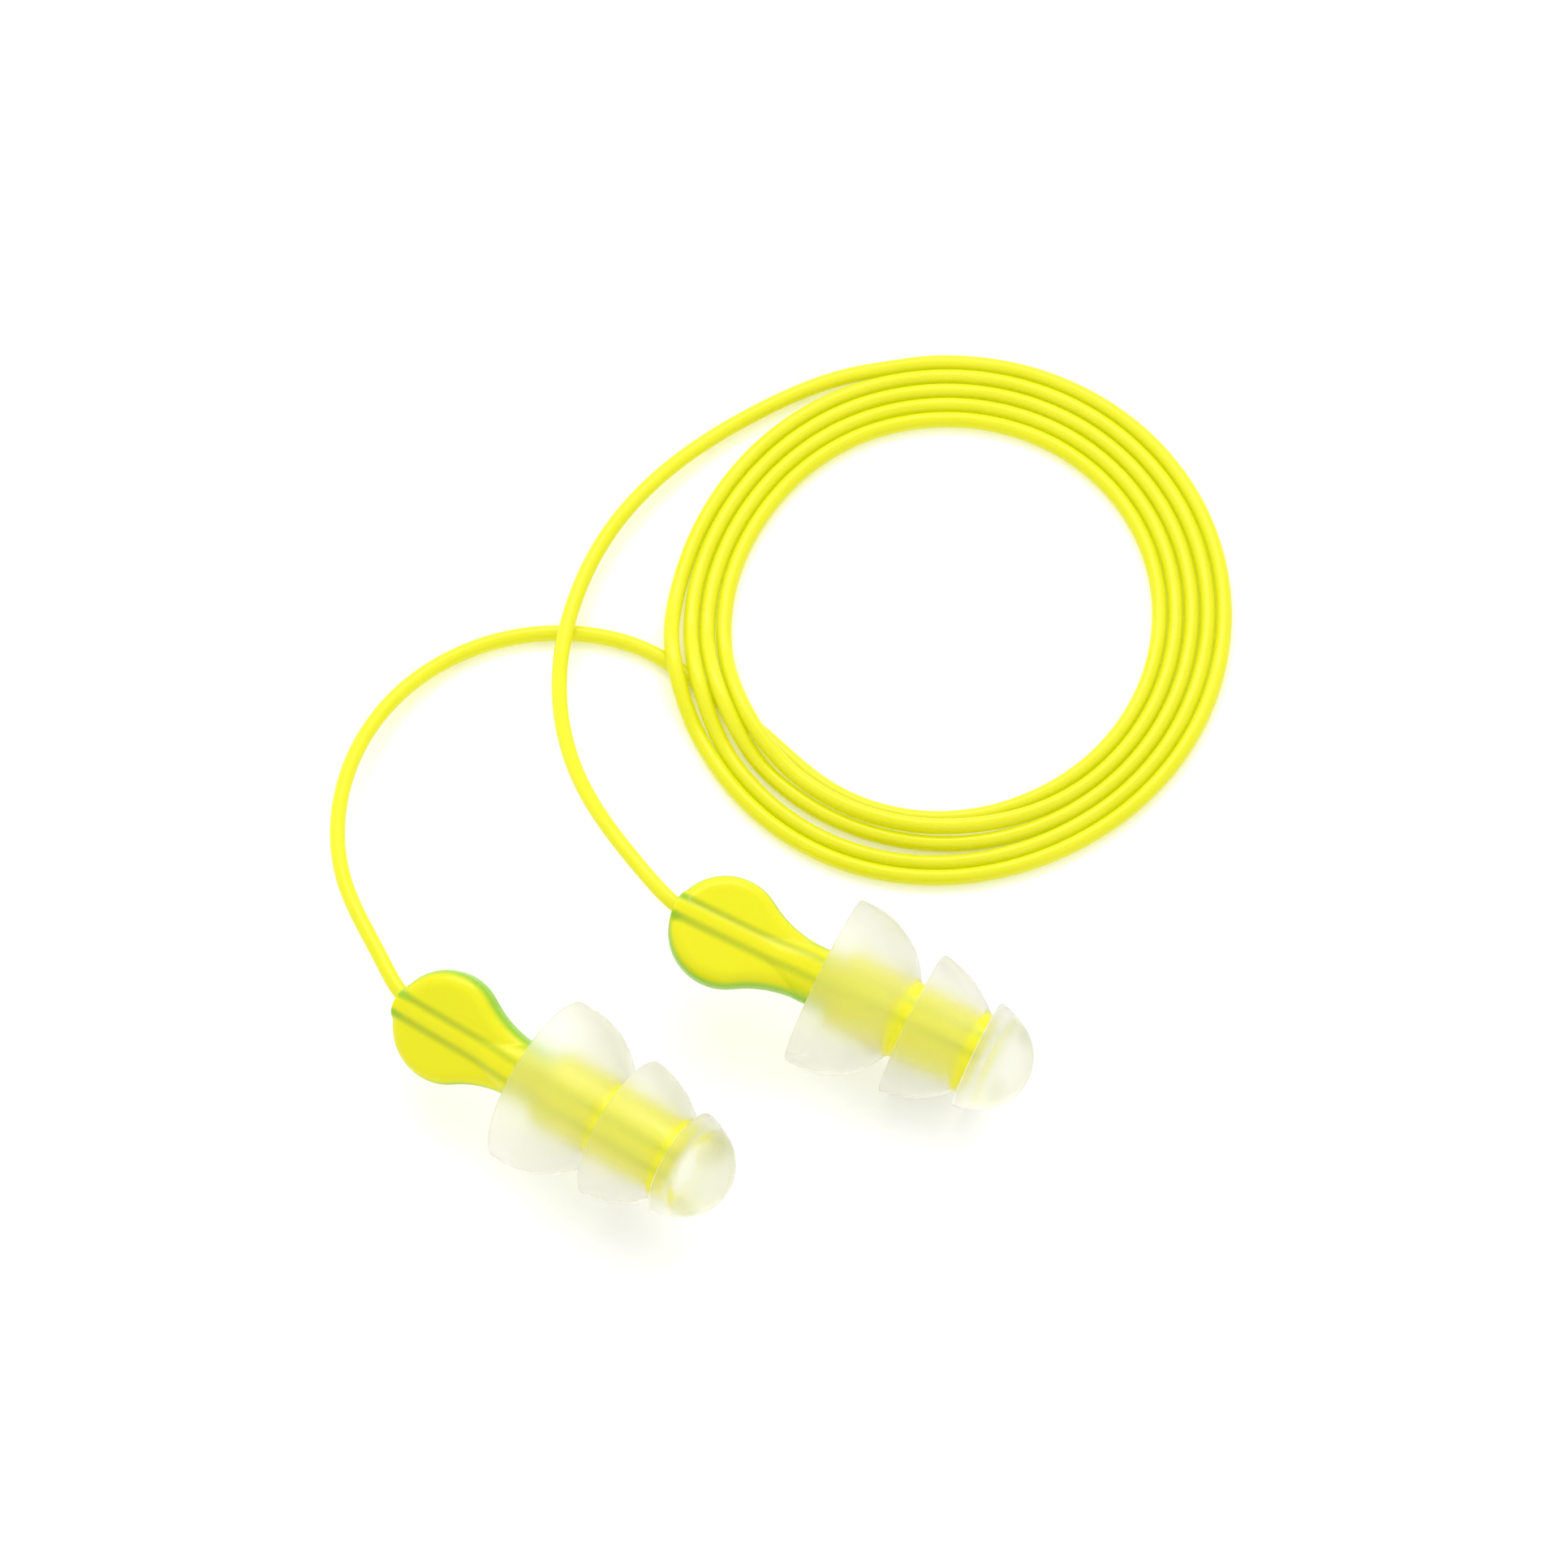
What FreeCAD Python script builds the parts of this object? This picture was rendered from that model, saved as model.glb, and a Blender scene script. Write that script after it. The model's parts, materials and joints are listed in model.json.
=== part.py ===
import FreeCAD, Part
import math
import os
from FreeCAD import Placement, Rotation, Vector

# A pair of reusable three-flange ear plugs on one coiled cord, lying on a table.
# Millimetres and degrees. The table is the plane z = 0, and the origin is the coil's centre on it.
# Azimuths are measured anticlockwise from +X, seen from above.

# ---- the cord -------------------------------------------------------------------------------
CORD_RADIUS = 0.575
CUP_CLEARANCE = 0.03        # between the round end of one cord link and the cup of the next

# The coil winds clockwise and inwards, from the right tail to the left tail.
COIL_START_AZIMUTH = 110.0
COIL_SWEEP = 1672.0         # how far it winds before the innermost turn leaves the coil
TURN_RADIUS = 21.2          # centreline of the outermost turn, where it starts
TURN_PITCH = 1.18
OVAL = 0.43                 # the turns are this much longer along OVAL_AZIMUTH, and shorter across it
OVAL_AZIMUTH = 78.0
SAMPLE_STEP = 8.0           # spacing of the points that the coil's curve passes through

# Places where the turns lie loosely: azimuth, half-span, and how far each turn strays outwards (+)
# or inwards (-) there, outermost turn first.
LOOSE_PLACES = (
    (247.0, 57.0, (0.50, 0.50, -0.12, 0.04, 0.30)),
    (150.0, 45.0, (-0.25, -0.25, -0.24, -0.23, 0.0)),
    (189.0, 27.0, (0.30, 0.0, 0.0, -0.05, 0.0)),
)

# Every turn but the innermost climbs over the end that leaves the coil beneath them, outermost turn
# first. Azimuths where it starts to rise, is fully up, starts to fall and is down again, and the rise.
# The last one then stays lower down, leaning on the turn inside it.
CLIMBS = (
    ((174.0, 190.0, 192.0, 208.0, 1.20),),
    ((180.0, 196.0, 198.0, 214.0, 1.20),),
    ((182.0, 198.0, 205.0, 222.0, 1.20),),
    ((186.0, 206.0, 216.0, 236.0, 1.20), (190.0, 225.0, 270.0, 310.0, 0.72)),
)
# The innermost turn's way out, under the others, to the left tail.
WAY_OUT = ((-13.9, -8.9), (-16.9, -6.3), (-19.8, -3.8))

# Points that the free tails pass through, from the coil outwards. Each is also where two links meet.
RIGHT_TAIL = (
    (-6.5, 20.6, 0.575),
    (-13.7, 17.4, 0.7),
    (-20.0, 12.6, 1.2),
    (-24.9, 6.4, 1.6),
    (-27.7, -1.0, 1.9),
    (-28.2, -8.8, 3.65),
    (-26.6, -16.4, 6.0),
    (-21.7, -25.25, 8.1),
)
LEFT_TAIL = (
    (-21.2, -2.8, 0.575),
    (-26.3, -1.1, 0.575),
    (-32.7, -1.6, 0.6),
    (-38.3, -4.7, 1.0),
    (-42.4, -10.2, 2.15),
    (-44.3, -16.8, 3.6),
    (-44.0, -23.6, 4.95),
    (-40.9, -31.5, 6.0),
)

# ---- the plugs, each drawn along +X from the back of its grip --------------------------------
HEAD_RADIUS = 4.2           # round head of the paddle
WAIST_RADIUS = 8.1          # hollow curve from the head to the neck
PADDLE_NECK_HALF = 2.15
PADDLE_END = 12.0
PADDLE_THICKNESS = 2.8
PADDLE_ROUNDING = 1.1

TUBE_RADIUS = 1.55          # the tube that holds the cord stands just proud of the paddle's faces
TUBE_END = 6.5
NECK_RADIUS = 2.2
NECK_START = 11.0
STEM_START = 13.4           # shoulder where the neck steps up to the stem inside the tip
STEM_RADIUS = 2.6
STEM_END = 25.2
STEM_END_ROUNDING = 0.8

BORE_CLEARANCE = 0.04
BORE_DEPTH = 7.0
FLARE_DEPTH = 2.1
FLARE_RADIUS = 1.1

SLEEVE_RADIUS = 2.95        # outside of the tip's sleeve, seen at its two grooves
SKIRT_EDGE = 0.3            # thickness of each flange at its free rear edge
FLANGE_1_X, FLANGE_1_RADIUS = 12.1, 6.5
FLANGE_2_X, FLANGE_2_RADIUS = 19.3, 5.5
FLANGE_3_X, FLANGE_3_RADIUS = 24.6, 4.15
NOSE_RADIUS = 3.85
NOSE_END = 28.8

# Each plug's place: back end of its axis, heading, nose-down pitch and roll.
LEFT_PLUG = ((-39.75, -34.25, 6.1), -34.3, -2.0, 38.3)
# The right plug rests on the rims of its first two flanges.
REST_PITCH = math.degrees(math.atan((FLANGE_1_RADIUS - FLANGE_2_RADIUS) / (FLANGE_2_X - FLANGE_1_X)))
REST_HEIGHT = (
    FLANGE_1_RADIUS * math.cos(math.radians(REST_PITCH))
    + FLANGE_1_X * math.sin(math.radians(REST_PITCH))
)
RIGHT_PLUG = ((-19.85, -27.75, REST_HEIGHT), -25.0, REST_PITCH, 10.5)
# The cord crosses the mouth of each grip a little off the axis, towards the side it comes from, and
# then runs along the axis from the first of these depths to its cut end at the last.
ENTRY_OFFSET = 0.30
DEPTHS_ON_AXIS = (1.9, 3.3, 4.8, 6.3)


# ---- the cord's centreline -------------------------------------------------------------------
def smooth(t):
    """0 to 1 with level ends."""
    t = min(max(t, 0.0), 1.0)
    return t * t * (3.0 - 2.0 * t)


def coil_point(swept):
    """A point of the coil, given how far the cord has wound from the right tail."""
    azimuth = COIL_START_AZIMUTH - swept
    turn = int(swept // 360.0)
    local = azimuth % 360.0
    radius = TURN_RADIUS + OVAL * math.cos(2.0 * math.radians(azimuth - OVAL_AZIMUTH))
    radius -= TURN_PITCH * swept / 360.0
    for place, half_span, strays in LOOSE_PLACES:
        radius += strays[turn] * smooth(1.0 - abs(local - place) / half_span)
    climbed = 0.0
    if turn < len(CLIMBS):
        for start, up, level_end, end, rise in CLIMBS[turn]:
            rising = smooth((local - start) / (up - start))
            falling = smooth((end - local) / (end - level_end))
            climbed = max(climbed, rise * min(rising, falling))
    angle = math.radians(azimuth)
    return Vector(radius * math.cos(angle), radius * math.sin(angle), CORD_RADIUS + climbed)


def plug_placement(plug):
    back, heading, pitch, roll = plug
    return Placement(Vector(*back), Rotation(heading, pitch, roll))


def socket_points(plug, tail_end):
    """The cord's way through the mouth of a grip and down its bore, from the outside in."""
    place = plug_placement(plug)
    axis = place.Rotation.multVec(Vector(1, 0, 0))
    mouth = Vector(*plug[0])
    incoming = Vector(*tail_end) - mouth
    sideways = incoming - axis * incoming.dot(axis)
    sideways.normalize()
    return [mouth + sideways * ENTRY_OFFSET] + [mouth + axis * depth for depth in DEPTHS_ON_AXIS]


def centreline():
    """The whole cord as one smooth curve, and the curve's parameter at each end of the tail links."""
    right_socket = socket_points(RIGHT_PLUG, RIGHT_TAIL[-1])
    left_socket = socket_points(LEFT_PLUG, LEFT_TAIL[-1])
    coil_count = int(COIL_SWEEP // SAMPLE_STEP)
    coil = [coil_point(SAMPLE_STEP * i) for i in range(1, coil_count + 1)]
    way_out = [Vector(x, y, CORD_RADIUS) for x, y in WAY_OUT]
    right = [Vector(*p) for p in RIGHT_TAIL]
    left = [Vector(*p) for p in LEFT_TAIL]
    points = right_socket[::-1] + right[::-1] + coil + way_out + left + left_socket
    curve = Part.BSplineCurve()
    curve.interpolate(Points=points)
    right_ends = [curve.parameter(p) for p in right + right_socket[-1:]]
    left_ends = [curve.parameter(p) for p in left + left_socket[-1:]]
    return curve, right_ends, left_ends


# ---- cord links ------------------------------------------------------------------------------
def swept_cord(curve, start, end, pieces):
    """The round cord between two parameters of its centreline, swept in a few pieces."""
    steps = [start + (end - start) * i / pieces for i in range(pieces + 1)]
    edges = [curve.toShape(min(a, b), max(a, b)) for a, b in zip(steps, steps[1:])]
    if end < start:
        edges = edges[::-1]
    path = Part.Wire(edges)
    low = min(start, end)
    section = Part.Wire(Part.makeCircle(CORD_RADIUS, curve.value(low), curve.tangent(low)[0]))
    return path.makePipeShell([section], True, False)


def round_end(curve, parameter, outwards):
    """The half ball that closes a link, centred where it meets the next one."""
    way = curve.tangent(parameter)[0] * outwards
    return Part.makeSphere(CORD_RADIUS, curve.value(parameter), way, 0, 90, 360)


def cup(curve, parameter):
    """The hollow that takes the previous link's round end."""
    return Part.makeSphere(CORD_RADIUS + CUP_CLEARANCE, curve.value(parameter))


def coil(curve, right_start, left_start):
    """Everything between the tails' first meeting points, with a round end at each."""
    body = swept_cord(curve, right_start, left_start, 40)
    body = body.fuse([round_end(curve, right_start, -1), round_end(curve, left_start, 1)])
    return body.removeSplitter()


def tail_link(curve, start, end, last):
    """One link, from its cup at start to its round end, or to the cord's cut end if it is the last."""
    outwards = 1 if end > start else -1
    body = swept_cord(curve, start, end, 1)
    if not last:
        body = body.fuse(round_end(curve, end, outwards)).removeSplitter()
    return body.cut(cup(curve, start))


# ---- grip ------------------------------------------------------------------------------------
def arc(first, middle, last):
    return Part.Arc(Vector(*first), Vector(*middle), Vector(*last)).toShape()


def line(first, last):
    return Part.makeLine(Vector(*first), Vector(*last))


def on_circle(centre, radius, degrees):
    angle = math.radians(degrees)
    return (centre[0] + radius * math.cos(angle), centre[1] + radius * math.sin(angle), 0)


def paddle():
    """Flat round head with a hollow waist running into the neck, all its edges rounded."""
    head = (HEAD_RADIUS, 0)
    waist_y = PADDLE_NECK_HALF + WAIST_RADIUS
    reach = math.sqrt((HEAD_RADIUS + WAIST_RADIUS) ** 2 - waist_y ** 2)
    waist_x = HEAD_RADIUS + reach
    lean = math.degrees(math.atan2(waist_y, reach))
    touch = on_circle(head, HEAD_RADIUS, lean)
    waist_middle = on_circle((waist_x, waist_y), WAIST_RADIUS, (180 + lean + 270) / 2)
    neck = (waist_x, PADDLE_NECK_HALF, 0)
    corner = (PADDLE_END, PADDLE_NECK_HALF, 0)

    def flip(point):
        return (point[0], -point[1], 0)

    outline = Part.Wire([
        arc(flip(touch), (0, 0, 0), touch),
        arc(touch, waist_middle, neck),
        line(neck, corner),
        line(corner, flip(corner)),
        line(flip(corner), flip(neck)),
        arc(flip(neck), flip(waist_middle), flip(touch)),
    ])
    slab = Part.Face(outline).extrude(Vector(0, 0, PADDLE_THICKNESS))
    slab.translate(Vector(0, 0, -PADDLE_THICKNESS / 2))
    rims = [e for e in slab.Edges if e.BoundBox.ZLength < 1e-6 and e.BoundBox.XMin < PADDLE_END - 0.1]
    return slab.makeFillet(PADDLE_ROUNDING, rims)


def revolved(edges):
    """A solid turned about the X axis from a closed outline above it."""
    return Part.Face(Part.Wire(edges)).revolve(Vector(0, 0, 0), Vector(1, 0, 0), 360)


def stem_end_edges():
    """The stem's rounded front end, from its full radius to the axis."""
    corner = (STEM_END - STEM_END_ROUNDING, STEM_RADIUS - STEM_END_ROUNDING)
    return [
        arc((corner[0], STEM_RADIUS, 0), on_circle(corner, STEM_END_ROUNDING, 45), (STEM_END, corner[1], 0)),
        line((STEM_END, corner[1], 0), (STEM_END, 0, 0)),
    ]


def tube_neck_and_stem():
    """Cord tube, swelling into the neck, then the stem that carries the tip."""
    middle = ((TUBE_END + NECK_START) / 2, (TUBE_RADIUS + NECK_RADIUS) / 2, 0)
    half_run = (NECK_START - TUBE_END) / 2
    half_rise = (NECK_RADIUS - TUBE_RADIUS) / 2
    bend = (half_run ** 2 + half_rise ** 2) / (2 * half_rise)
    half_turn = math.degrees(math.asin(half_run / bend)) / 2
    return revolved([
        line((0, 0, 0), (0, TUBE_RADIUS, 0)),
        line((0, TUBE_RADIUS, 0), (TUBE_END, TUBE_RADIUS, 0)),
        arc((TUBE_END, TUBE_RADIUS, 0),
            on_circle((TUBE_END, TUBE_RADIUS + bend), bend, -90 + half_turn), middle),
        arc(middle, on_circle((NECK_START, NECK_RADIUS - bend), bend, 90 + half_turn),
            (NECK_START, NECK_RADIUS, 0)),
        line((NECK_START, NECK_RADIUS, 0), (STEM_START, NECK_RADIUS, 0)),
        line((STEM_START, NECK_RADIUS, 0), (STEM_START, STEM_RADIUS, 0)),
        line((STEM_START, STEM_RADIUS, 0), (STEM_END - STEM_END_ROUNDING, STEM_RADIUS, 0)),
        *stem_end_edges(),
        line((STEM_END, 0, 0), (0, 0, 0)),
    ])


def cord_bore():
    """Blind bore for the cord, with a trumpet mouth where the cord may enter at an angle."""
    radius = CORD_RADIUS + BORE_CLEARANCE
    outside = -0.5
    return revolved([
        line((outside, 0, 0), (outside, FLARE_RADIUS, 0)),
        line((outside, FLARE_RADIUS, 0), (0, FLARE_RADIUS, 0)),
        arc((0, FLARE_RADIUS, 0), (FLARE_DEPTH * 0.4, (FLARE_RADIUS + radius * 2) / 3, 0),
            (FLARE_DEPTH, radius, 0)),
        line((FLARE_DEPTH, radius, 0), (BORE_DEPTH, radius, 0)),
        line((BORE_DEPTH, radius, 0), (BORE_DEPTH, 0, 0)),
        line((BORE_DEPTH, 0, 0), (outside, 0, 0)),
    ])


def grip():
    """Paddle, tube, neck and stem, moulded as one piece. The tube ends flush with the round head."""
    head_and_beyond = Part.makeCylinder(HEAD_RADIUS, 8, Vector(HEAD_RADIUS, 0, -4))
    beyond = Part.makeBox(30, 8, 8, Vector(HEAD_RADIUS, -4, -4))
    core = tube_neck_and_stem().common(head_and_beyond.fuse(beyond))
    return paddle().fuse(core).removeSplitter().cut(cord_bore())


# ---- tip -------------------------------------------------------------------------------------
def first_flange_edges():
    """Straight lip, then a quarter-round dome down to the sleeve. The skirt thickens towards its root."""
    rim, radius = FLANGE_1_X, FLANGE_1_RADIUS
    centre_r = 0.23

    def reach(bend):
        return math.sqrt(bend ** 2 - (SLEEVE_RADIUS - centre_r) ** 2)

    outer, inner = radius - centre_r, radius - SKIRT_EDGE - centre_r
    outer_centre, inner_centre = (rim + 0.95, centre_r), (rim + 0.5, centre_r)
    inner_root = (inner_centre[0] + reach(inner), SLEEVE_RADIUS, 0)
    outer_root = (outer_centre[0] + reach(outer), SLEEVE_RADIUS, 0)
    inner_lip = (inner_centre[0], radius - SKIRT_EDGE, 0)
    outer_lip = (outer_centre[0], radius, 0)
    return inner_root, outer_root, [
        arc(inner_root, on_circle(inner_centre, inner, 55), inner_lip),
        line(inner_lip, (rim, radius - SKIRT_EDGE, 0)),
        line((rim, radius - SKIRT_EDGE, 0), (rim, radius, 0)),
        line((rim, radius, 0), outer_lip),
        arc(outer_lip, on_circle(outer_centre, outer, 55), outer_root),
    ]


def second_flange_edges():
    """A flatter, more conical flange, slightly crowned."""
    rim, radius = FLANGE_2_X, FLANGE_2_RADIUS
    inner_root = (rim + 4.3, SLEEVE_RADIUS, 0)
    outer_root = (rim + 5.1, SLEEVE_RADIUS, 0)
    inner_edge = (rim, radius - SKIRT_EDGE, 0)
    return inner_root, outer_root, [
        arc(inner_root, (rim + 2.7, radius - 1.45, 0), inner_edge),
        line(inner_edge, (rim, radius, 0)),
        line((rim, radius, 0), (rim + 0.3, radius, 0)),
        arc((rim + 0.3, radius, 0), (rim + 3.2, radius - 1.0, 0), outer_root),
    ]


def nose_edges():
    """The third flange's short lip, flowing into the domed nose."""
    rim, radius = FLANGE_3_X, FLANGE_3_RADIUS
    centre = (NOSE_END - NOSE_RADIUS, 0)
    inner_root = (rim + 1.0, SLEEVE_RADIUS, 0)
    inner_edge = (rim, radius - SKIRT_EDGE, 0)
    blend = on_circle(centre, NOSE_RADIUS, 70)
    return inner_root, [
        line(inner_root, inner_edge),
        line(inner_edge, (rim, radius, 0)),
        line((rim, radius, 0), blend),
        arc(blend, on_circle(centre, NOSE_RADIUS, 35), (NOSE_END, 0, 0)),
    ]


def tip():
    """Sleeve, three flanges and solid nose, moulded as one piece round the grip's stem."""
    root_1, end_1, flange_1 = first_flange_edges()
    root_2, end_2, flange_2 = second_flange_edges()
    root_3, nose = nose_edges()
    sleeve_back = (STEM_START, SLEEVE_RADIUS, 0)
    bore_back = (STEM_START, STEM_RADIUS, 0)
    return revolved([
        line(bore_back, sleeve_back),
        line(sleeve_back, root_1),
        *flange_1,
        line(end_1, root_2),
        *flange_2,
        line(end_2, root_3),
        *nose,
        line((NOSE_END, 0, 0), (STEM_END, 0, 0)),
        *[e.reversed() for e in stem_end_edges()[::-1]],
        line((STEM_END - STEM_END_ROUNDING, STEM_RADIUS, 0), bore_back),
    ])


# ---- all the nodes ---------------------------------------------------------------------------
def placed(shape, plug):
    moved = shape.copy()
    moved.Placement = plug_placement(plug)
    return moved


def tail_nodes(side, curve, ends):
    """The links of one tail, numbered from the coil. The last one ends inside the grip's bore."""
    nodes = {}
    links = list(zip(ends, ends[1:]))
    for number, (start, end) in enumerate(links, 1):
        last = number == len(links)
        name = f"{side}_cord_end" if last else f"{side}_cord_{number}"
        nodes[name] = tail_link(curve, start, end, last)
    return nodes


def all_nodes():
    curve, right_ends, left_ends = centreline()
    nodes = {"cord_coil": coil(curve, right_ends[0], left_ends[0])}
    nodes.update(tail_nodes("left", curve, left_ends))
    nodes.update(tail_nodes("right", curve, right_ends))
    for side, plug in (("left", LEFT_PLUG), ("right", RIGHT_PLUG)):
        nodes[f"{side}_grip"] = placed(grip(), plug)
        nodes[f"{side}_tip"] = placed(tip(), plug)
    return nodes


def main():
    os.makedirs("parts", exist_ok=True)
    for name, shape in all_nodes().items():
        solid = shape.Solids[0]
        print(name, "solids", len(shape.Solids), "valid", solid.isValid(), "volume", round(solid.Volume, 2))
        solid.exportStep(f"parts/{name}.step")


if __name__ == "__main__":
    main()
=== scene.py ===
import json
import math

import bmesh
import bpy
import numpy as np
from mathutils import Matrix, Vector
from mathutils.kdtree import KDTree


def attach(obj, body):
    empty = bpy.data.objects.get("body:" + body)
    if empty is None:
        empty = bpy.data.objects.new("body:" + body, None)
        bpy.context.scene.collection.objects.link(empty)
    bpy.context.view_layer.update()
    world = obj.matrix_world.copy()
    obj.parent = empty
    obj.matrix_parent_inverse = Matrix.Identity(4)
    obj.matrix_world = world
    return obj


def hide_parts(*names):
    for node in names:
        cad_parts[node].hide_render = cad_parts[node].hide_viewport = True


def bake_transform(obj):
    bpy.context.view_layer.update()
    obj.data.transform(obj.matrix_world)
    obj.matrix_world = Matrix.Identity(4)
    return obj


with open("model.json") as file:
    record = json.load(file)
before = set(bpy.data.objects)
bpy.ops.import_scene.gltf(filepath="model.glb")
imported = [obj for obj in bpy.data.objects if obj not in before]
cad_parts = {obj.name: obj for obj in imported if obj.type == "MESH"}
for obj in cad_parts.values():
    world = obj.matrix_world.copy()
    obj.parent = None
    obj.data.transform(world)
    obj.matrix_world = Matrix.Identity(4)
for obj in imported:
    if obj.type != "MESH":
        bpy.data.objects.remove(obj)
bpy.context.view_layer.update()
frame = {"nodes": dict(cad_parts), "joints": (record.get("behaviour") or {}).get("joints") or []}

# A pair of three-flange ear plugs on one coiled cord, lying on a white table. Lengths are in
# millimetres up to the point where a mesh is made, and each mesh is in metres.
MM = 0.001
JOINTS = {joint["name"]: joint for joint in frame["joints"]}
SIDES = ("left", "right")

# ---- the cord -------------------------------------------------------------------------------
CORD_RADIUS = 0.575
CORD_SEGMENTS = 28
CORD_STEP = 0.45            # spacing of the rings along the cord
SEARCH_RADIUS = 0.5         # less than the gap between the middles of two touching turns
LOOK_BACK = 3               # steps over which the direction of the walk is measured
MOST_STEPS = 5000
ARRIVAL = 0.75              # how near the goal the walk stops, in steps
SMOOTHING_PASSES = 4
CUP_REACH = 1.25            # reach of the cups where two links meet, in cord radii
DEPTH_IN_BORE = 5.0         # how far in front of a plug's back the drawn cord ends
TAIL_LINKS = 7              # links of each free tail, before the end that enters the grip
RINGS_INTO_COIL = 8         # where the coil proper hands over to the first bend of a tail

# ---- the tips, each turned about the plug's axis, which starts at the back of its grip ---------
STEM_START = 13.4           # from here to its end, the grip is the tip's stem
STEM_END = 25.2
BORE_RADIUS = 2.5           # a little inside the stem, which is bonded to it
BORE_END_ROUNDING = 0.8
SLEEVE_RADIUS = 2.95
SKIRT_EDGE = 0.3
RIM_ROUNDING = 0.11
FLANGE_1_X, FLANGE_1_RADIUS = 12.1, 6.5     # the first flange is a hollow dome
DOME_CENTRE_RADIUS = 0.23   # the middle of the dome's arcs, off the axis and in front of its rim
DOME_OUTSIDE_SETBACK = 0.95
DOME_INSIDE_SETBACK = 0.5
DOME_MIDDLE = 55            # degrees, a point near the middle of each of the dome's arcs
FLANGE_2_X, FLANGE_2_RADIUS = 19.3, 5.5
FLANGE_3_X, FLANGE_3_RADIUS = 24.6, 4.15
NOSE_RADIUS = 3.85
NOSE_END = 28.8
NOSE_ARC = 66               # degrees from the tip of the nose to where its ball shape starts
NOSE_PAINTED_SHADE_X = 27.3         # where the nose has a painted greenish shade at both sides
TIP_SEGMENTS = 128

# ---- the grips ------------------------------------------------------------------------------
GRIP_VOXEL = 0.08
GRIP_SOFTENING = 7          # smoothing passes, which round the moulding's inner and outer corners
HEAD_LENGTH = 8.0           # the flat paddle, which shows how far the plug is rolled
RIB_EDGE = 0.78             # the two edges of the hollow rib that holds the cord, either side of the axis

# ---- the camera, the softbox and the table, in metres ------------------------------------------
CAMERA_ELEVATION = math.radians(62)
CAMERA_DISTANCE = 4.0
FRAME_WIDTH = 0.11476       # how much of the table the picture is wide
CAMERA_AIM = (-0.01182, -0.01322, 0)
SOFTBOX_PLACE = (-0.05, 0.30, 0.42)
SOFTBOX_AIM = (-0.012, -0.01, 0)
SOFTBOX_SIZE = (0.45, 0.20)
SOFTBOX_POWER = 1.1
TABLE_HALF_WIDTH = 1.5
TABLE_LEVEL = -0.00001      # a hair below the plane on which the cord rests


# ---- where the cord and the plugs are --------------------------------------------------------
def mesh_arrays(obj):
    """Corners and their outward directions of a CAD node, corners in millimetres."""
    mesh = obj.data
    corners = np.array([v.co for v in mesh.vertices], float) / MM
    outward = np.array([v.normal for v in mesh.vertices], float)
    return corners, outward


def tail_joints(side):
    """The points where a tail's links meet, from the coil outwards, in millimetres."""
    by_child = {joint["child"]: joint for joint in frame["joints"]}
    names = [f"{side}_cord_{i}" for i in range(1, TAIL_LINKS + 1)] + [f"{side}_cord_end"]
    return [np.array(by_child[name]["pos_m"], float) / MM for name in names]


def middle_cloud():
    """Points on the middle of the cord, one under each corner of the cord's round side."""
    meeting = np.array(tail_joints("left") + tail_joints("right"))
    cloud = []
    for name, obj in sorted(frame["nodes"].items()):
        if "cord" not in name:
            continue
        corners, outward = mesh_arrays(obj)
        offset = meeting[None, :, :] - corners[:, None, :]
        distance = np.linalg.norm(offset, axis=2)
        nearest = distance.argmin(axis=1)
        rows = np.arange(len(corners))
        facing = np.einsum("ij,ij->i", offset[rows, nearest], outward)
        in_cup = (distance[rows, nearest] < CORD_RADIUS * CUP_REACH) & (facing > 0)
        cloud.append((corners - outward * CORD_RADIUS)[~in_cup])
    return np.concatenate(cloud)


def follow_cord(cloud, start, way, goal):
    """Walks along the middle of the cord in equal steps, from start to goal."""
    tree = KDTree(len(cloud))
    for i, point in enumerate(cloud):
        tree.insert(point, i)
    tree.balance()
    path = [start]
    while len(path) < MOST_STEPS:
        guess = path[-1] + way * CORD_STEP
        near = [index for _, index, _ in tree.find_range(guess, SEARCH_RADIUS)]
        if near:
            shift = cloud[near].mean(axis=0) - guess
            guess = guess + shift - way * (shift @ way)
        path.append(guess)
        way = path[-1] - path[max(len(path) - 1 - LOOK_BACK, 0)]
        way = way / np.linalg.norm(way)
        if np.linalg.norm(guess - goal) < CORD_STEP * ARRIVAL:
            break
    return np.array(path)


def smoothed(path, passes):
    """Evens out a path by averaging each point with its neighbours."""
    for _ in range(passes):
        path[1:-1] = 0.25 * path[:-2] + 0.5 * path[1:-1] + 0.25 * path[2:]
    return path


def plug_frame(side):
    """The plug's own axes as a matrix: +X along it from the back of the grip, +Y across the paddle."""
    turn = JOINTS[f"{side}_plug_turn"]
    origin = np.array(turn["pos_m"], float) / MM
    along = np.array(turn["axis"], float)
    corners, _ = mesh_arrays(frame["nodes"][f"{side}_grip"])
    offset = corners - origin
    run = offset @ along
    flat = offset[run < HEAD_LENGTH] - np.outer(run[run < HEAD_LENGTH], along)
    _, directions = np.linalg.eigh(flat.T @ flat)
    across = directions[:, -1]
    up = np.cross(along, across)
    if up[2] < 0:
        across, up = -across, -up
    matrix = np.eye(4)
    matrix[:3, 0], matrix[:3, 1], matrix[:3, 2], matrix[:3, 3] = along, across, up, origin
    return matrix


PLUG_FRAMES = {side: plug_frame(side) for side in SIDES}


def cord_path():
    """The middle of the whole cord, from its end in the right grip to its end in the left one."""
    along = {side: PLUG_FRAMES[side][:3, 0] for side in SIDES}
    end = {side: PLUG_FRAMES[side][:3, 3] + along[side] * DEPTH_IN_BORE for side in SIDES}
    path = follow_cord(middle_cloud(), end["right"], -along["right"], end["left"])
    return smoothed(path, SMOOTHING_PASSES)


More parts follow.
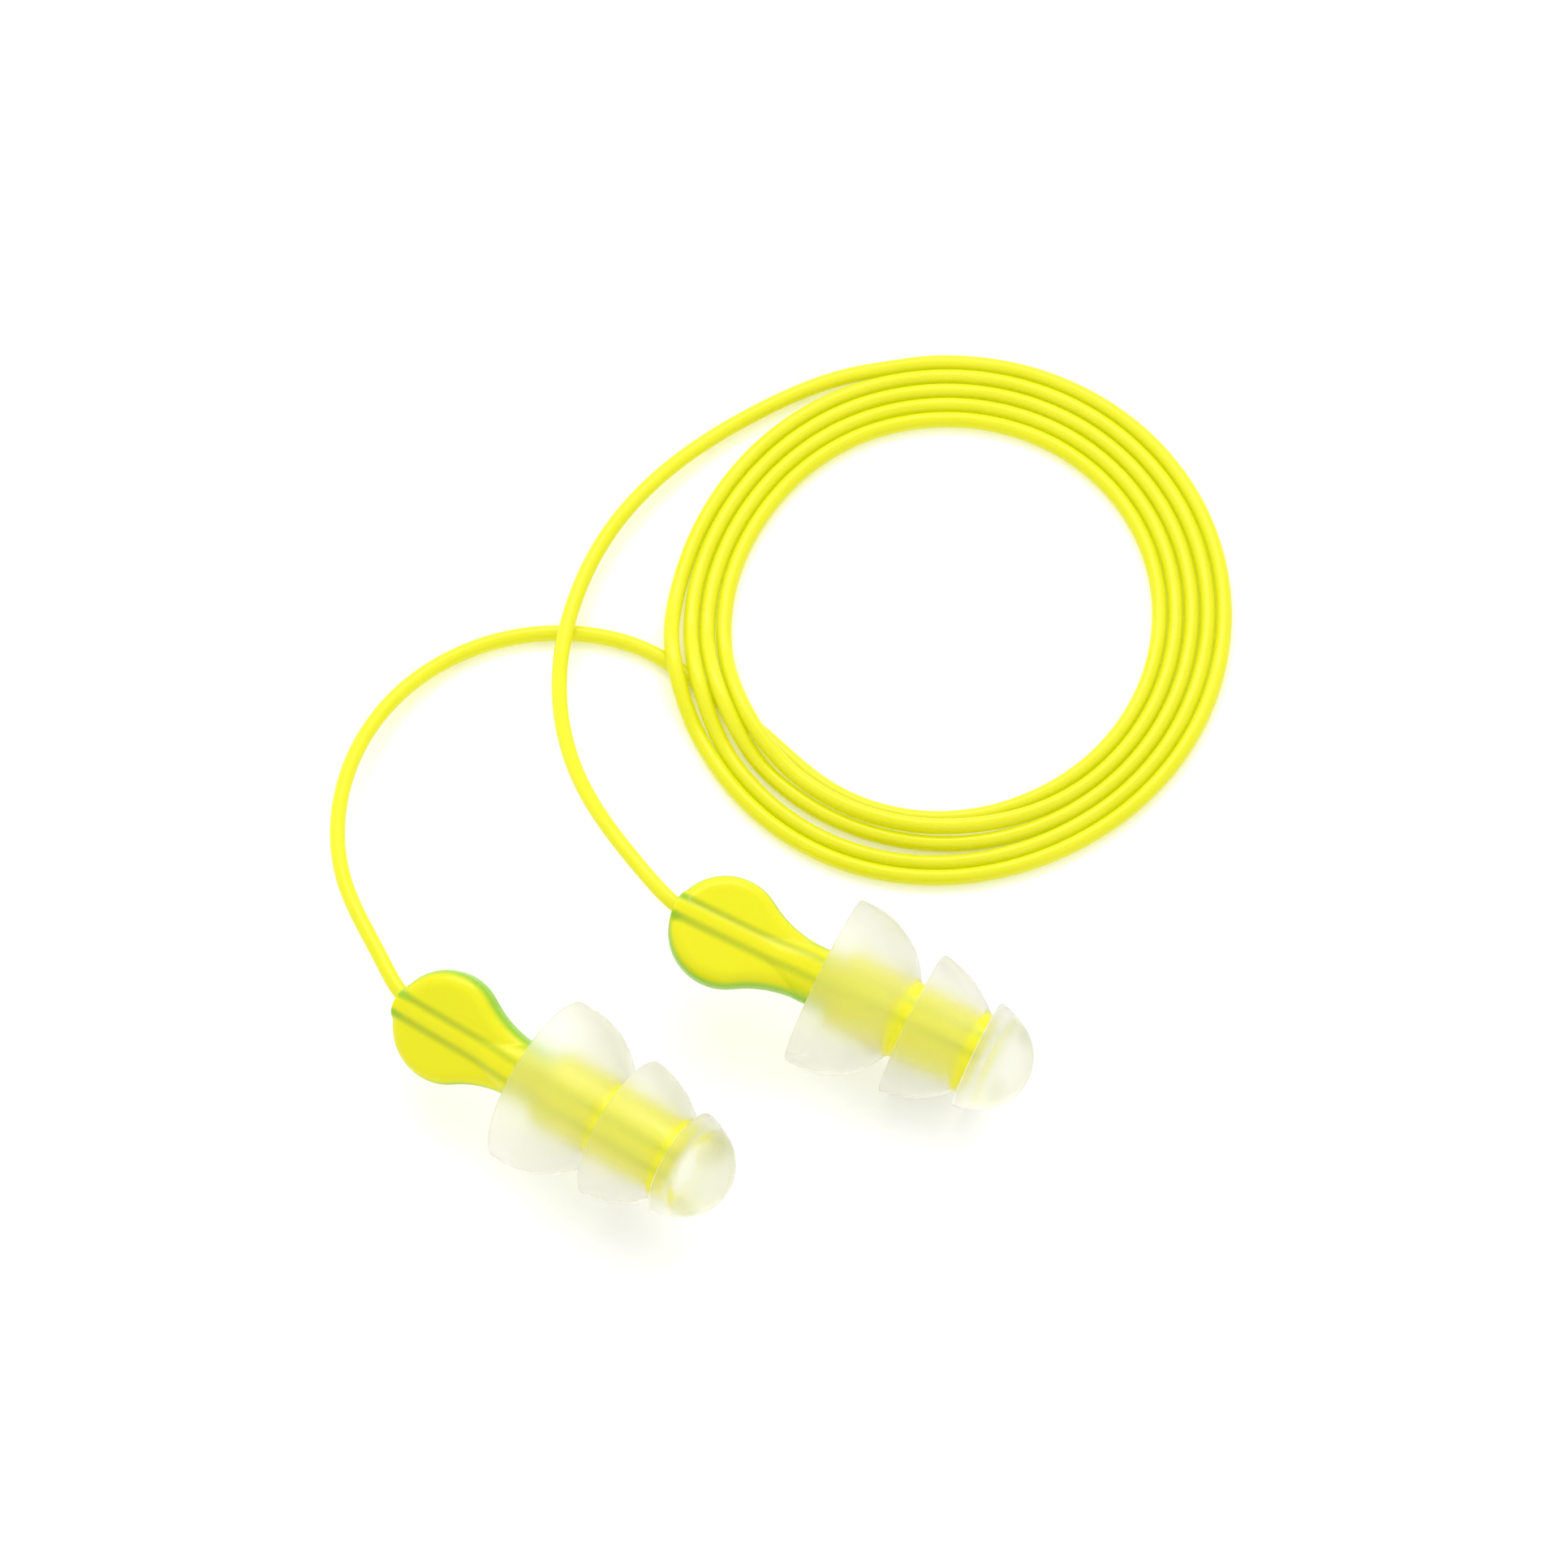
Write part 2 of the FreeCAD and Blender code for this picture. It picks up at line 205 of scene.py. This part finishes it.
# ---- meshes ----------------------------------------------------------------------------------
def new_object(name, mesh, material):
    """Puts a mesh in the scene as an object with one material."""
    obj = bpy.data.objects.new(name, mesh)
    bpy.context.scene.collection.objects.link(obj)
    mesh.materials.clear()
    mesh.materials.append(material)
    return obj


def rings_along(path):
    """At each point of a path, two directions across it that twist as little as possible along it."""
    tangents = np.gradient(path, axis=0)
    tangents /= np.linalg.norm(tangents, axis=1)[:, None]
    side = np.cross(tangents[0], (0.0, 0.0, 1.0))
    sides = []
    for tangent in tangents:
        side = side - tangent * (side @ tangent)
        side = side / np.linalg.norm(side)
        sides.append(side)
    sides = np.array(sides)
    return sides, np.cross(tangents, sides)


def cord_piece(name, path, rings, first, last, material):
    """A closed length of round cord between two of the path's rings."""
    sides, ups = rings
    turns = np.linspace(0, 2 * math.pi, CORD_SEGMENTS, endpoint=False)
    verts, radial = [], []
    for i in range(first, last + 1):
        spokes = np.outer(np.cos(turns), sides[i]) + np.outer(np.sin(turns), ups[i])
        radial.append(spokes)
        verts.append(path[i] + spokes * CORD_RADIUS)
    verts, radial = np.concatenate(verts), np.concatenate(radial)
    n, count = CORD_SEGMENTS, last - first + 1
    faces = []
    for row in range(count - 1):
        for k in range(n):
            a, b = row * n + k, row * n + (k + 1) % n
            faces.append((a, b, b + n, a + n))
    side_faces = len(faces)
    faces.append(tuple(range(n))[::-1])
    faces.append(tuple(range((count - 1) * n, count * n)))
    mesh = bpy.data.meshes.new(name)
    mesh.from_pydata((verts * MM).tolist(), [], faces)
    outward_first = mesh.polygons[0].normal @ Vector(radial[0]) > 0
    if not outward_first:
        mesh.flip_normals()
    mesh.polygons.foreach_set("use_smooth", [True] * len(faces))
    normals = []
    for polygon in mesh.polygons:
        for loop in polygon.loop_indices:
            if polygon.index < side_faces:
                normals.append(Vector(radial[mesh.loops[loop].vertex_index]))
            else:
                normals.append(polygon.normal.copy())
    mesh.normals_split_custom_set(normals)
    along = mesh.attributes.new("cord_run", "FLOAT", "POINT")
    along.data.foreach_set("value", np.repeat(np.arange(first, last + 1) * CORD_STEP, n))
    around = mesh.attributes.new("cord_turn", "FLOAT_VECTOR", "POINT")
    circle = np.stack([np.cos(turns), np.sin(turns), np.zeros(n)], axis=1)
    around.data.foreach_set("vector", np.tile(circle, (count, 1)).ravel())
    return new_object(name, mesh, material)


def build_cord(material):
    """The cord's coil, and eight lengths of each tail, each with a joint in its middle."""
    path = cord_path()
    rings = rings_along(path)
    coil_ends = []
    for side in SIDES:
        meeting = [int(np.linalg.norm(path - point, axis=1).argmin()) for point in tail_joints(side)]
        outwards = 1 if meeting[1] > meeting[0] else -1
        cuts = [meeting[0] - outwards * RINGS_INTO_COIL]
        cuts += [(a + b) // 2 for a, b in zip(meeting, meeting[1:])]
        cuts.append(len(path) - 1 if outwards > 0 else 0)
        coil_ends.append(cuts[0])
        bodies = ["coil"] + [f"{side}_cord_{i}" for i in range(1, TAIL_LINKS + 1)] + [f"{side}_cord_end"]
        for number, (start, end) in enumerate(zip(cuts, cuts[1:])):
            name = f"{side}_tail_bend_{number + 1}"
            piece = cord_piece(name, path, rings, min(start, end), max(start, end), material)
            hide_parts(bodies[number + 1])
            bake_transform(piece)
    coil = cord_piece("coiled_cord", path, rings, min(coil_ends), max(coil_ends), material)
    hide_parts("cord_coil")
    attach(coil, "coil")


def store_plug_space(mesh, local):
    """Keeps each vertex's place in the plug's own axes, in millimetres, for its material to use."""
    attribute = mesh.attributes.new("plug_space", "FLOAT_VECTOR", "POINT")
    attribute.data.foreach_set("vector", np.asarray(local, np.float32).ravel())


def build_grip(side, material):
    """The moulded grip, with every corner of the CAD solid softened as a mould leaves it."""
    matrix = PLUG_FRAMES[side]
    node = f"{side}_grip"
    bm = bmesh.new()
    bm.from_mesh(frame["nodes"][node].data)
    to_plug = Matrix(np.linalg.inv(matrix).tolist()) @ Matrix.Scale(1 / MM, 4)
    bmesh.ops.transform(bm, matrix=to_plug, verts=bm.verts)
    bmesh.ops.remove_doubles(bm, verts=bm.verts, dist=1e-4)
    rough = bpy.data.meshes.new("rough_grip")
    bm.to_mesh(rough)
    bm.free()
    source = new_object("rough_grip", rough, material)
    even = source.modifiers.new("even", "REMESH")
    even.mode, even.voxel_size, even.adaptivity = "VOXEL", GRIP_VOXEL, 0.0
    soften = source.modifiers.new("soften", "SMOOTH")
    soften.factor, soften.iterations = 0.5, GRIP_SOFTENING
    evaluated = source.evaluated_get(bpy.context.evaluated_depsgraph_get())
    mesh = bpy.data.meshes.new_from_object(evaluated)
    bpy.data.objects.remove(source)
    mesh.name = f"{side}_moulded_grip"
    store_plug_space(mesh, [v.co for v in mesh.vertices])
    wall = mesh.attributes.new("side_wall", "FLOAT", "POINT")
    wall.data.foreach_set("value", [1.0 - abs(v.normal.z) for v in mesh.vertices])
    mesh.transform(Matrix.Scale(MM, 4) @ Matrix(matrix.tolist()))
    mesh.polygons.foreach_set("use_smooth", [True] * len(mesh.polygons))
    grip = new_object(f"{side}_moulded_grip", mesh, material)
    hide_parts(node)
    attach(grip, f"{side}_plug")


def arc_through(first, middle, last, count):
    """Points of the arc from first to last through middle, all as (x, r), without the last one."""
    (ax, ay), (bx, by), (cx, cy) = first, middle, last
    d = 2 * (ax * (by - cy) + bx * (cy - ay) + cx * (ay - by))
    a2, b2, c2 = ax * ax + ay * ay, bx * bx + by * by, cx * cx + cy * cy
    ux = (a2 * (by - cy) + b2 * (cy - ay) + c2 * (ay - by)) / d
    uy = (a2 * (cx - bx) + b2 * (ax - cx) + c2 * (bx - ax)) / d
    radius = math.hypot(ax - ux, ay - uy)
    begin = math.atan2(ay - uy, ax - ux)
    half = (math.atan2(by - uy, bx - ux) - begin + math.pi) % (2 * math.pi) - math.pi
    rest = (math.atan2(cy - uy, cx - ux) - begin - half + math.pi) % (2 * math.pi) - math.pi
    sweep = half + rest
    angles = [begin + sweep * i / count for i in range(count)]
    return [(ux + radius * math.cos(t), uy + radius * math.sin(t)) for t in angles]


def on_circle(centre, radius, degrees):
    """A point of a circle, where 0 degrees is towards the nose and 90 away from the axis."""
    angle = math.radians(degrees)
    return (centre[0] + radius * math.cos(angle), centre[1] + radius * math.sin(angle))


def rim(x, radius):
    """The rounded free edge of a skirt, from its inside to its outside."""
    low, high, r = radius - SKIRT_EDGE, radius, RIM_ROUNDING
    points = [on_circle((x + r, low + r), r, angle) for angle in (270, 240, 210, 180)]
    points += [on_circle((x + r, high - r), r, angle) for angle in (180, 150, 120, 90)]
    return points


def first_flange():
    """A hollow dome: its inside from the sleeve to the rim, the rim, and its outside back to the sleeve."""
    outer = FLANGE_1_RADIUS - DOME_CENTRE_RADIUS
    inner = outer - SKIRT_EDGE
    outer_centre = (FLANGE_1_X + DOME_OUTSIDE_SETBACK, DOME_CENTRE_RADIUS)
    inner_centre = (FLANGE_1_X + DOME_INSIDE_SETBACK, DOME_CENTRE_RADIUS)

    def root(centre, radius):
        return (centre[0] + math.sqrt(radius ** 2 - (SLEEVE_RADIUS - centre[1]) ** 2), SLEEVE_RADIUS)

    inner_edge = (inner_centre[0], FLANGE_1_RADIUS - SKIRT_EDGE)
    outer_edge = (outer_centre[0], FLANGE_1_RADIUS)
    outer_root = root(outer_centre, outer)
    inner_middle = on_circle(inner_centre, inner, DOME_MIDDLE)
    points = arc_through(root(inner_centre, inner), inner_middle, inner_edge, 20)
    points += rim(FLANGE_1_X, FLANGE_1_RADIUS)
    points += arc_through(outer_edge, on_circle(outer_centre, outer, DOME_MIDDLE), outer_root, 24)
    return points + [outer_root]


def second_flange():
    """The same for a hollow cone, whose sides bulge through the middle point of each arc."""
    x, radius = FLANGE_2_X, FLANGE_2_RADIUS
    inner_root, inner_bulge = (x + 4.3, SLEEVE_RADIUS), (x + 2.7, radius - 1.45)
    outer_bulge, outer_root = (x + 3.2, radius - 1.0), (x + 5.1, SLEEVE_RADIUS)
    points = arc_through(inner_root, inner_bulge, (x + 0.2, radius - SKIRT_EDGE), 16)
    points += rim(x, radius)
    return points + arc_through((x + 0.3, radius), outer_bulge, outer_root, 20)


def third_flange_and_nose():
    """A short collar whose outside runs into the ball of the nose."""
    x, radius = FLANGE_3_X, FLANGE_3_RADIUS
    centre = (NOSE_END - NOSE_RADIUS, 0)
    ball_start = on_circle(centre, NOSE_RADIUS, NOSE_ARC)
    points = [(x + 1.0, SLEEVE_RADIUS)]
    points += rim(x, radius)
    points += arc_through((x + 0.3, radius - 0.02), (x + 1.0, radius - 0.2), ball_start, 5)
    return points + [on_circle(centre, NOSE_RADIUS, angle) for angle in range(NOSE_ARC, 0, -4)]


def tip_outline():
    """The section of a tip as (x, radius), from the back of its bore, over the flanges, round the nose."""
    sleeve_back = [(STEM_START, BORE_RADIUS), (STEM_START, SLEEVE_RADIUS)]
    return sleeve_back + first_flange() + second_flange() + third_flange_and_nose()


def build_tip(side, material):
    """Three soft flanges and a domed nose in one piece, turned about the plug's axis round the stem."""
    outline = tip_outline()
    corner = (STEM_END - BORE_END_ROUNDING, BORE_RADIUS - BORE_END_ROUNDING)
    bore = [on_circle(corner, BORE_END_ROUNDING, angle) for angle in range(0, 91, 15)]
    bm = bmesh.new()
    turns = [2 * math.pi * k / TIP_SEGMENTS for k in range(TIP_SEGMENTS)]

    def ring(point):
        return [bm.verts.new((point[0], point[1] * math.cos(t), point[1] * math.sin(t))) for t in turns]

    def band(one, other):
        for k in range(TIP_SEGMENTS):
            bm.faces.new((one[k], one[k - 1], other[k - 1], other[k]))

    def fan(one, centre):
        for k in range(TIP_SEGMENTS):
            bm.faces.new((one[k], one[k - 1], centre))

    rings = [ring(point) for point in outline]
    for one, other in zip(rings, rings[1:]):
        band(one, other)
    fan(rings[-1], bm.verts.new((NOSE_END, 0, 0)))
    inside = [ring(point) for point in bore]
    for one, other in zip(inside, inside[1:]):
        band(one, other)
    band(inside[-1], rings[0])
    fan(inside[0], bm.verts.new((STEM_END, 0, 0)))
    bmesh.ops.recalc_face_normals(bm, faces=bm.faces)
    mesh = bpy.data.meshes.new(f"{side}_flanged_tip")
    bm.to_mesh(mesh)
    bm.free()
    store_plug_space(mesh, [v.co for v in mesh.vertices])
    mesh.transform(Matrix.Scale(MM, 4) @ Matrix(PLUG_FRAMES[side].tolist()))
    mesh.polygons.foreach_set("use_smooth", [True] * len(mesh.polygons))
    mesh.set_sharp_from_angle(angle=math.radians(40))
    tip = new_object(f"{side}_flanged_tip", mesh, material)
    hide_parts(f"{side}_tip")
    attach(tip, f"{side}_plug")


# ---- materials -------------------------------------------------------------------------------
class Nodes:
    """Short ways to add nodes to a new material."""

    def __init__(self, name):
        self.material = bpy.data.materials.new(name)
        self.material.use_nodes = True
        self.tree = self.material.node_tree
        self.tree.nodes.clear()

    def add(self, kind, inputs=None, **settings):
        node = self.tree.nodes.new(kind)
        for key, value in settings.items():
            setattr(node, key, value)
        for key, value in (inputs or {}).items():
            if isinstance(value, bpy.types.NodeSocket):
                self.tree.links.new(value, node.inputs[key])
            else:
                node.inputs[key].default_value = value
        return node

    def math(self, operation, a, b=0.0):
        return self.add("ShaderNodeMath", {0: a, 1: b}, operation=operation).outputs[0]

    def mix(self, amount, a, b):
        node = self.add("ShaderNodeMix", data_type="RGBA")
        for index, value in ((0, amount), (6, a), (7, b)):
            if isinstance(value, bpy.types.NodeSocket):
                self.tree.links.new(value, node.inputs[index])
            else:
                node.inputs[index].default_value = value
        return node.outputs[2]

    def noise(self, vector, scale, detail=2.0):
        inputs = {"Vector": vector, "Scale": scale, "Detail": detail}
        return self.add("ShaderNodeTexNoise", inputs).outputs["Fac"]

    def range(self, value, low, high, to_low=0.0, to_high=1.0, smooth=True):
        kind = "SMOOTHSTEP" if smooth else "LINEAR"
        inputs = {"Value": value, "From Min": low, "From Max": high, "To Min": to_low, "To Max": to_high}
        return self.add("ShaderNodeMapRange", inputs, interpolation_type=kind).outputs[0]

    def attribute(self, name):
        return self.add("ShaderNodeAttribute", attribute_name=name)

    def let_light_through(self, surface, share, colour):
        """Passes part of the light on its way to what lies behind, as a clear or cloudy body does."""
        path = self.add("ShaderNodeLightPath")
        lighting = self.math("MAXIMUM", path.outputs["Is Shadow Ray"], path.outputs["Is Diffuse Ray"])
        clear = self.add("ShaderNodeBsdfTransparent", {"Color": colour})
        inputs = {0: self.math("MULTIPLY", lighting, share), 1: surface, 2: clear.outputs[0]}
        return self.add("ShaderNodeMixShader", inputs).outputs[0]

    def output(self, surface):
        self.add("ShaderNodeOutputMaterial", {"Surface": surface})
        return self.material


YELLOW = (0.75, 0.74, 0.003, 1)
PALE_YELLOW = (0.80, 0.78, 0.015, 1)
GRIP_YELLOW = (0.72, 0.71, 0.001, 1)
WARM_YELLOW = (0.73, 0.68, 0.001, 1)
# OLIVE is the cord's painted shade and painted glow where two turns touch, and the colour of the lines
# along the grip's hollow rib.
OLIVE = (0.40, 0.48, 0.008, 1)
EDGE_GREEN = (0.24, 0.50, 0.012, 1)


def cord_material():
    """Glossy lime-yellow PVC, drawn lengthwise, with painted olive shade and a painted olive glow where two
    turns touch.
    """
    n = Nodes("lime_cord")
    place = n.add("ShaderNodeTexCoord").outputs["Object"]
    run = n.attribute("cord_run").outputs["Fac"]
    around = n.attribute("cord_turn").outputs["Vector"]
    stretched = n.add("ShaderNodeCombineXYZ", {"Z": n.math("MULTIPLY", run, 0.05)}).outputs[0]
    drawn = n.add("ShaderNodeVectorMath", {0: around, 1: stretched}, operation="ADD").outputs[0]
    streaks = n.noise(drawn, 5.0, 3.0)
    grain = n.noise(place, 9000.0, 2.0)
    clouds = n.noise(place, 130.0, 2.0)
    colour = n.mix(n.range(clouds, 0.35, 0.65, 0.0, 0.55), YELLOW, PALE_YELLOW)
    # Painted shade: where ambient occlusion finds two turns touching, the colour turns olive.
    crevice = n.add("ShaderNodeAmbientOcclusion", {"Distance": 0.45 * MM}, samples=8).outputs["AO"]
    colour = n.mix(n.range(crevice, 0.62, 0.12, 0.0, 0.85), colour, OLIVE)
    bump = n.math("ADD", n.math("MULTIPLY", streaks, 0.7), n.math("MULTIPLY", grain, 0.3))
    relief = n.add("ShaderNodeBump", {"Height": bump, "Strength": 0.25, "Distance": 0.02 * MM})
    skin = n.add("ShaderNodeBsdfPrincipled", {
        "Base Color": colour,
        "Roughness": n.range(streaks, 0.3, 0.7, 0.24, 0.36),
        "Specular IOR Level": 0.4,
        # Painted glow: olive emission where two turns touch, stronger as the occlusion deepens.
        "Emission Color": OLIVE,
        "Emission Strength": n.math("MULTIPLY", n.range(crevice, 0.62, 0.12), 0.45),
        "Normal": relief.outputs[0],
    })
    glow = n.add("ShaderNodeBsdfTranslucent", {"Color": PALE_YELLOW})
    body = n.add("ShaderNodeMixShader", {0: 0.12, 1: skin.outputs[0], 2: glow.outputs[0]})
    return n.output(n.let_light_through(body.outputs[0], 0.6, (0.96, 0.96, 0.45, 1)))


def grip_material():
    """Glossy translucent lime moulding: greener through its side walls and along its hollow rib, with a
    painted glow on the stem inside the tip.
    """
    n = Nodes("lime_grip")
    place = n.attribute("plug_space").outputs["Vector"]
    wall = n.attribute("side_wall").outputs["Fac"]
    parts = n.add("ShaderNodeSeparateXYZ", {0: place})
    x, y = parts.outputs[0], n.math("ABSOLUTE", parts.outputs[1])
    clouds = n.noise(place, 0.35, 2.0)
    grain = n.noise(place, 9.0, 3.0)
    colour = n.mix(n.range(clouds, 0.35, 0.65, 0.0, 0.5), GRIP_YELLOW, WARM_YELLOW)
    rib_edge = n.range(n.math("ABSOLUTE", n.math("SUBTRACT", y, RIB_EDGE)), 0.0, 0.5, 1.0, 0.0)
    rib_fade = n.range(x, 0.0, 13.0, 0.95, 0.5, smooth=False)
    on_face = n.range(wall, 0.75, 0.35)
    colour = n.mix(n.math("MULTIPLY", n.math("MULTIPLY", rib_edge, rib_fade), on_face), colour, OLIVE)
    mouth = n.math("MULTIPLY", rib_edge, n.range(x, 1.5, 0.2))
    colour = n.mix(n.math("MULTIPLY", mouth, 0.8), colour, EDGE_GREEN)
    paddle_wall = n.math("MULTIPLY", n.range(wall, 0.2, 0.8, 0.0, 0.95), n.range(x, 14.0, 12.0))
    colour = n.mix(paddle_wall, colour, EDGE_GREEN)
    relief = n.add("ShaderNodeBump", {"Height": grain, "Strength": 0.12, "Distance": 0.02 * MM})
    surface = n.add("ShaderNodeBsdfPrincipled", {
        "Base Color": colour,
        "Roughness": n.range(clouds, 0.3, 0.7, 0.22, 0.32),
        "Specular IOR Level": 0.3,
        # Painted glow: the stem inside the tip emits a little yellow light, so it looks brighter than its
        # lighting makes it.
        "Emission Color": GRIP_YELLOW,
        "Emission Strength": n.range(x, STEM_START - 0.5, STEM_START + 1.0, 0.0, 0.13),
        "Subsurface Weight": 0.35,
        "Subsurface Radius": (1.0, 0.9, 0.1),
        "Subsurface Scale": 0.7 * MM,
        "Normal": relief.outputs[0],
    })
    return n.output(n.let_light_through(surface.outputs[0], 0.75, (0.97, 0.97, 0.8, 1)))


def tip_material():
    """Frosted, milky, see-through elastomer with a faint yellow-green tint in the nose, and painted
    greenish shade at both sides of the nose.
    """
    n = Nodes("frosted_tip")
    place = n.attribute("plug_space").outputs["Vector"]
    parts = n.add("ShaderNodeSeparateXYZ", {0: place})
    across = n.add("ShaderNodeCombineXYZ", {0: parts.outputs[1], 1: parts.outputs[2]}).outputs[0]
    radius = n.add("ShaderNodeVectorMath", {0: across}, operation="LENGTH").outputs["Value"]
    frost = n.noise(place, 14.0, 3.0)
    clouds = n.noise(place, 0.5, 2.0)
    nose = n.range(parts.outputs[0], FLANGE_3_X - 0.5, FLANGE_3_X + 0.5)
    skirt = n.range(radius, SLEEVE_RADIUS + 0.05, SLEEVE_RADIUS + 0.6)
    frosted = n.math("MAXIMUM", nose, skirt)
    tint = n.mix(nose, (0.94, 0.935, 0.91, 1), (0.92, 0.92, 0.88, 1))
    grazing = n.add("ShaderNodeLayerWeight", {"Blend": 0.35}).outputs["Facing"]
    # Painted shade: a soft greenish darkening at both sides of the nose, around NOSE_PAINTED_SHADE_X.
    from_painted_shade = n.math("ABSOLUTE", n.math("SUBTRACT", parts.outputs[0], NOSE_PAINTED_SHADE_X))
    sideways = n.range(n.math("ABSOLUTE", parts.outputs[1]), 0.8, 2.4)
    painted_shade = n.math("MULTIPLY", n.range(from_painted_shade, 1.1, 0.1), sideways)
    tint = n.mix(n.math("MULTIPLY", painted_shade, 0.6), tint, (0.58, 0.62, 0.38, 1))
    tint = n.mix(n.range(grazing, 0.6, 1.0, 0.0, 0.8), tint, (0.84, 0.82, 0.75, 1))
    bump = {"Height": frost, "Strength": n.math("MULTIPLY", frosted, 0.25), "Distance": 0.02 * MM}
    relief = n.add("ShaderNodeBump", bump)
    rough = n.math("ADD", n.range(frosted, 0.0, 1.0, 0.25, 0.42), n.math("MULTIPLY", clouds, 0.1))
    glass = n.add("ShaderNodeBsdfPrincipled", {
        "Base Color": tint,
        "Roughness": rough,
        "IOR": 1.33,
        "Transmission Weight": 1.0,
        "Normal": relief.outputs[0],
    })
    milk = n.add("ShaderNodeBsdfTranslucent", {"Color": (0.96, 0.96, 0.94, 1)})
    body = n.add("ShaderNodeMixShader", {
        0: n.math("MULTIPLY", frosted, 0.04),
        1: glass.outputs[0],
        2: milk.outputs[0],
    })
    return n.output(n.let_light_through(body.outputs[0], 1.0, (0.985, 0.985, 0.975, 1)))


def floor_material():
    """Matt white board with a barely visible grain."""
    n = Nodes("white_table")
    place = n.add("ShaderNodeTexCoord").outputs["Object"]
    grain = n.noise(place, 60.0, 2.0)
    colour = n.mix(grain, (0.93, 0.93, 0.93, 1), (0.95, 0.95, 0.95, 1))
    surface = n.add("ShaderNodeBsdfPrincipled", {"Base Color": colour, "Roughness": 0.7})
    return n.output(surface.outputs[0])


# ---- table, light and camera -----------------------------------------------------------------
def area_light(name, place, aim, size, power):
    """A rectangular softbox at one place, turned to face another."""
    lamp = bpy.data.lights.new(name, "AREA")
    lamp.shape, lamp.size, lamp.size_y, lamp.energy = "RECTANGLE", size[0], size[1], power
    obj = bpy.data.objects.new(name, lamp)
    obj.location = place
    obj.rotation_euler = (Vector(aim) - Vector(place)).to_track_quat("-Z", "Y").to_euler()
    bpy.context.scene.collection.objects.link(obj)


def build_stage():
    """A white table in an even white studio with one softbox behind and above."""
    mesh = bpy.data.meshes.new("table")
    half = TABLE_HALF_WIDTH
    corners = [(x, y, TABLE_LEVEL) for x, y in ((-half, -half), (half, -half), (half, half), (-half, half))]
    mesh.from_pydata(corners, [], [(0, 1, 2, 3)])
    new_object("table", mesh, floor_material())

    world = bpy.data.worlds.new("studio")
    world.use_nodes = True
    background = world.node_tree.nodes["Background"]
    background.inputs["Color"].default_value = (1, 1, 1, 1)
    background.inputs["Strength"].default_value = 1.08
    scene = bpy.context.scene
    scene.world = world
    scene.view_settings.view_transform = "Standard"
    area_light("softbox", SOFTBOX_PLACE, SOFTBOX_AIM, SOFTBOX_SIZE, SOFTBOX_POWER)


def build_camera():
    """Looks along +Y, down at the table, from far enough away to flatten the perspective."""
    backwards = Vector((0, -math.cos(CAMERA_ELEVATION), math.sin(CAMERA_ELEVATION)))
    camera = bpy.data.objects.new("camera", bpy.data.cameras.new("camera"))
    camera.data.lens = camera.data.sensor_width * CAMERA_DISTANCE / FRAME_WIDTH
    camera.location = Vector(CAMERA_AIM) + backwards * CAMERA_DISTANCE
    camera.rotation_euler = (math.pi / 2 - CAMERA_ELEVATION, 0, 0)
    camera.data.clip_start, camera.data.clip_end = 0.05, 10
    bpy.context.scene.collection.objects.link(camera)
    bpy.context.scene.camera = camera


def main():
    build_cord(cord_material())
    grip_finish, tip_finish = grip_material(), tip_material()
    for side in SIDES:
        build_grip(side, grip_finish)
        build_tip(side, tip_finish)
    build_stage()
    build_camera()


main()
